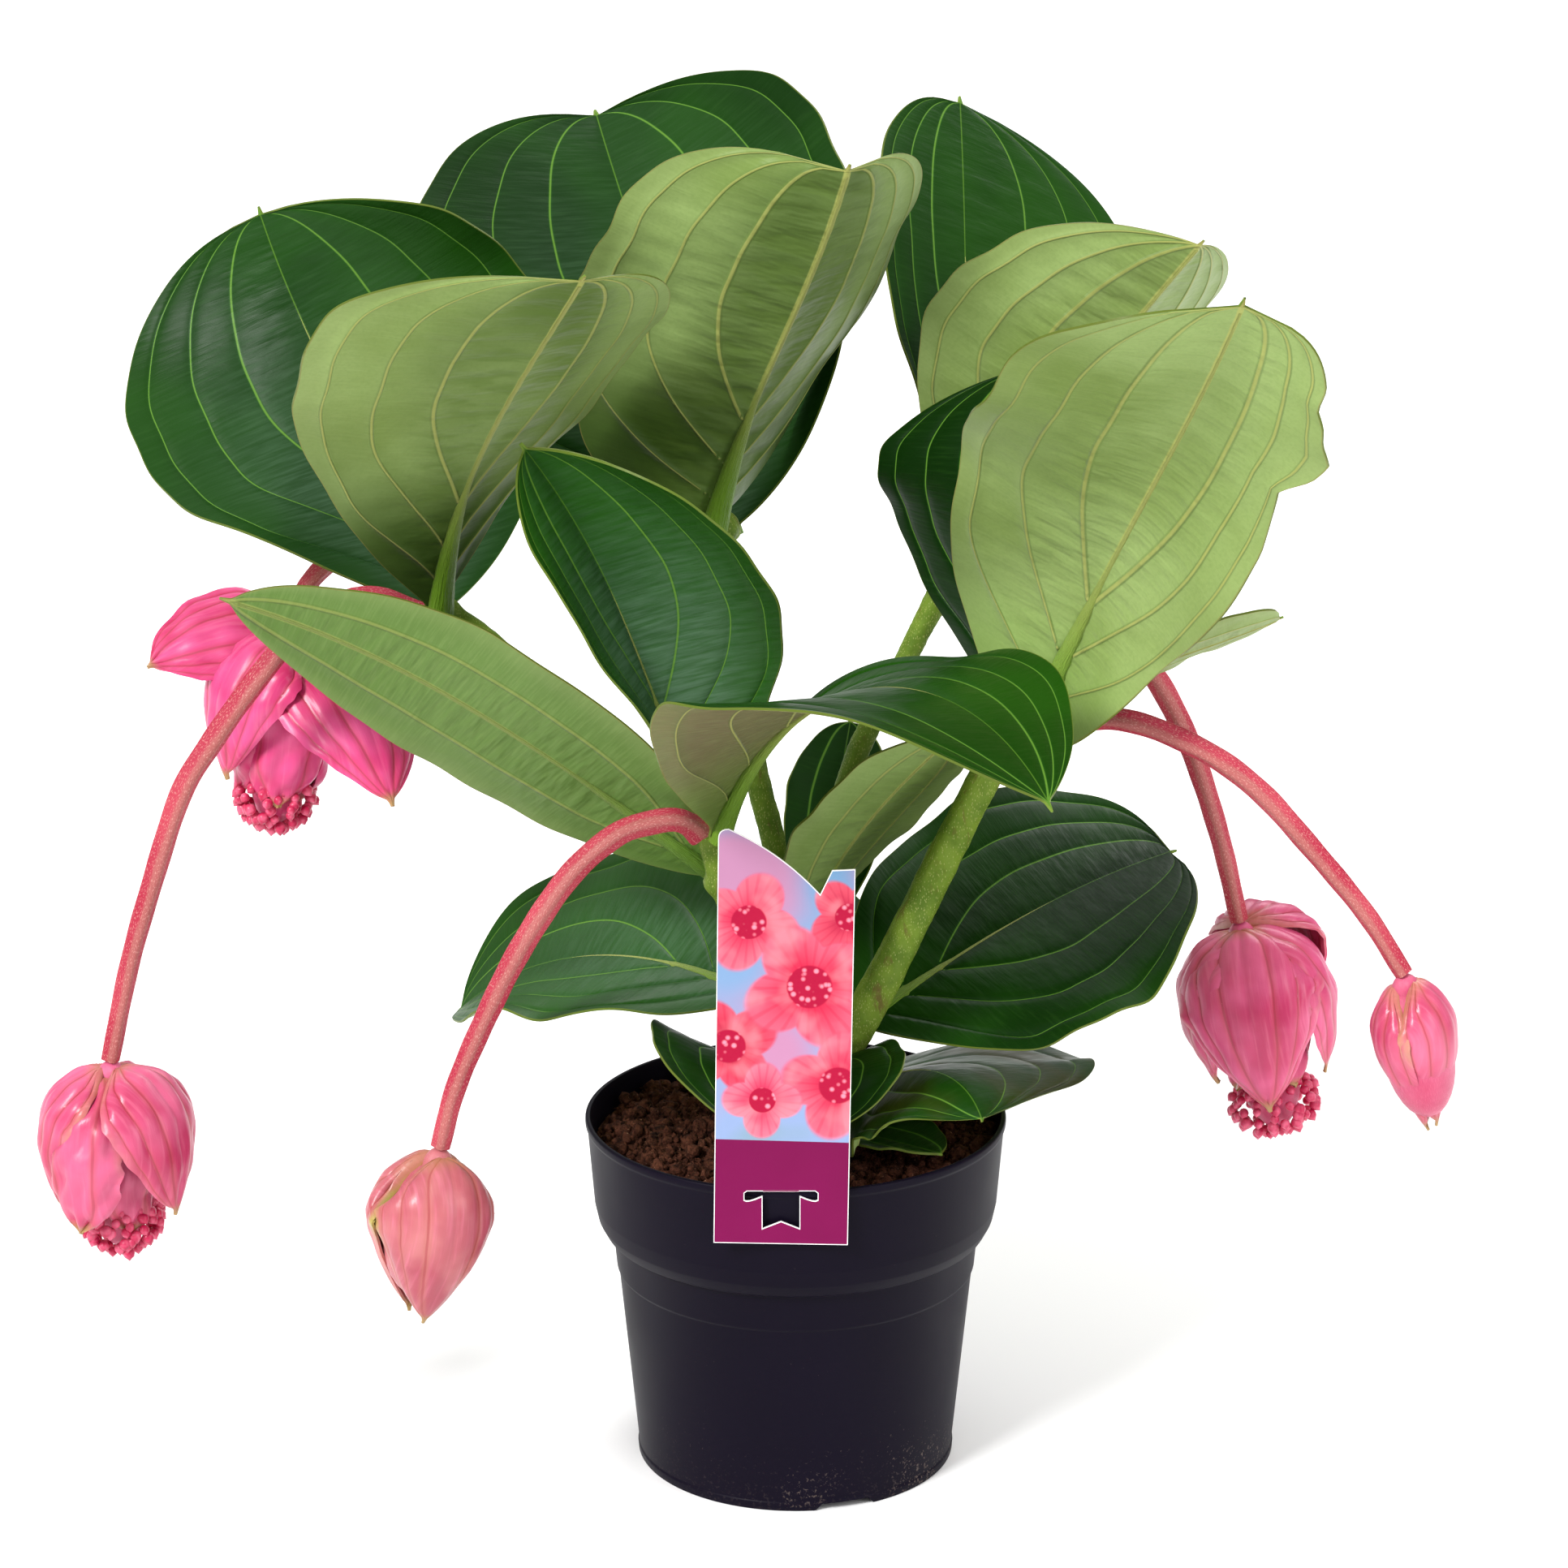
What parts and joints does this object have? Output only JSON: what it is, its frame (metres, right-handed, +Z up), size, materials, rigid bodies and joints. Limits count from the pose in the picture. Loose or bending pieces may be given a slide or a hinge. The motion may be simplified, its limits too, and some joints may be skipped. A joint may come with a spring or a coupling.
{
  "type": "potted medinilla plant",
  "caption": "Potted medinilla with broad ribbed leaves on woody stems, hanging pink flower heads on arched stalks, a round nursery pot and a printed plant card.",
  "frame": {"origin": "centre of the pot's foot, on the surface that it stands on", "axes": "+Z up, -Y to the front, where the plant card hangs, +X to the right as seen from the front"},
  "size_m": [0.5542, 0.3803, 0.546],
  "materials": {
    "pot_plastic": "satin black injection-moulded plastic",
    "peat": null,
    "woody_stem": "green woody stem with brown corky edges",
    "leaf_dark": null,
    "leaf_light": null,
    "flower_stalk": null,
    "bract_pink": null,
    "bract_pale": null,
    "card": "coated printed card"
  },
  "bodies": {
    "root": {"pot": "pot_plastic", "soil": "peat", "stem": "woody_stem", "label": "card", "leaf_left_back": "leaf_dark", "leaf_left_front": "leaf_light", "leaf_top_back": "leaf_dark", "leaf_top_front": "leaf_light", "leaf_rear_back": "leaf_dark", "leaf_rear_front": "leaf_light", "leaf_right_front": "leaf_light", "leaf_right_back": "leaf_dark", "leaf_right_low": "leaf_light", "leaf_middle_back": "leaf_dark", "leaf_middle_arched": "leaf_dark", "leaf_long_left": "leaf_light", "leaf_inner_light": "leaf_light", "leaf_inner_dark": "leaf_dark", "leaf_low_right": "leaf_dark", "leaf_low_left": "leaf_dark", "leaf_low_front": "leaf_dark", "leaf_low_back": "leaf_dark", "leaf_rim_right": "leaf_dark", "leaf_rim_under": "leaf_light", "stalk_left_front": "flower_stalk", "stalk_left_back": "flower_stalk", "stalk_middle": "flower_stalk", "stalk_right_back": "flower_stalk", "stalk_right_front": "flower_stalk", "bloom_left_front": "bract_pink", "bloom_left_back": "bract_pink", "bud_middle": "bract_pale", "bloom_right_back": "bract_pink", "bud_right_front": "bract_pink"}
  },
  "joints": []
}
